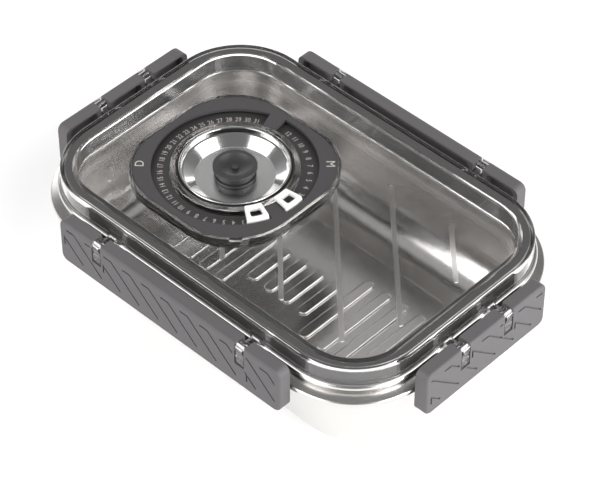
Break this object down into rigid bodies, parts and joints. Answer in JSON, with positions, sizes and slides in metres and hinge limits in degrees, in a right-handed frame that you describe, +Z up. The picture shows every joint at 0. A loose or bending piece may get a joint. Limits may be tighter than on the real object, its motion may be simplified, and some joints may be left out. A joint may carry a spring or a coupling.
{
  "type": "vacuum seal canister",
  "caption": "Low rectangular steel food canister with a clear clip-on lid, side locking clips, a vacuum release valve and a sliding date dial.",
  "frame": {"origin": "middle of the base, on the surface that the canister stands on", "axes": "+Z up, +X along the long side away from the date dial, -Y towards the front long clip"},
  "size_m": [0.243, 0.171, 0.06],
  "materials": {
    "tub_steel": "satin",
    "lid_clear": "smoked clear gloss",
    "housing_clear": "smoked clear gloss",
    "clip_plastic": "matt",
    "bezel_plastic": "satin",
    "plate_plastic": "satin",
    "slider_plastic": "gloss",
    "dish_steel": "turned and polished",
    "seal_silicone": "matt",
    "valve_silicone": "satin"
  },
  "bodies": {
    "tub": {"tub": "tub_steel"},
    "lid": {"lid": "lid_clear", "lid_gasket": "seal_silicone", "dial_housing": "housing_clear", "number_plate": "plate_plastic", "dial_bezel": "bezel_plastic", "valve_dish": "dish_steel", "dish_seal": "seal_silicone"},
    "long_clip_front": {"long_clip_front": "clip_plastic"},
    "long_clip_back": {"long_clip_back": "clip_plastic"},
    "short_clip_right": {"short_clip_right": "clip_plastic"},
    "short_clip_left": {"short_clip_left": "clip_plastic"},
    "day_slider": {"day_slider": "slider_plastic"},
    "month_slider": {"month_slider": "slider_plastic"},
    "valve_plug": {"valve_plug": "valve_silicone"}
  },
  "joints": [
    {"name": "lid_lift", "type": "slide", "parent": "tub", "child": "lid", "axis": [0, 0, 1], "range_m": [0, 0.033]},
    {"name": "long_clip_front_hinge", "type": "hinge", "parent": "lid", "child": "long_clip_front", "pos_m": [0, -0.0826, 0.0546], "axis": [-1, 0, 0], "range_deg": [0, 120]},
    {"name": "long_clip_back_hinge", "type": "hinge", "parent": "lid", "child": "long_clip_back", "pos_m": [0, 0.0826, 0.0546], "axis": [1, 0, 0], "range_deg": [0, 120]},
    {"name": "short_clip_right_hinge", "type": "hinge", "parent": "lid", "child": "short_clip_right", "pos_m": [0.1186, 0, 0.0546], "axis": [0, -1, 0], "range_deg": [0, 120]},
    {"name": "short_clip_left_hinge", "type": "hinge", "parent": "lid", "child": "short_clip_left", "pos_m": [-0.1186, 0, 0.0546], "axis": [0, 1, 0], "range_deg": [0, 120]},
    {"name": "day_slider_turn", "type": "hinge", "parent": "lid", "child": "day_slider", "pos_m": [-0.0395, 0, 0.0519], "axis": [0, 0, 1], "range_deg": [-212.5, 0.5]},
    {"name": "month_slider_turn", "type": "hinge", "parent": "lid", "child": "month_slider", "pos_m": [-0.0395, 0, 0.0519], "axis": [0, 0, 1], "range_deg": [-0.3, 88.4]},
    {"name": "valve_lift", "type": "slide", "parent": "lid", "child": "valve_plug", "axis": [0, 0, 1], "range_m": [0, 0.0015]}
  ],
  "couplings": [
    {"joint": "long_clip_front_hinge", "follows": "lid_lift", "rad_per_m": 63.4},
    {"joint": "long_clip_back_hinge", "follows": "lid_lift", "rad_per_m": 63.4},
    {"joint": "short_clip_right_hinge", "follows": "lid_lift", "rad_per_m": 63.4},
    {"joint": "short_clip_left_hinge", "follows": "lid_lift", "rad_per_m": 63.4}
  ]
}
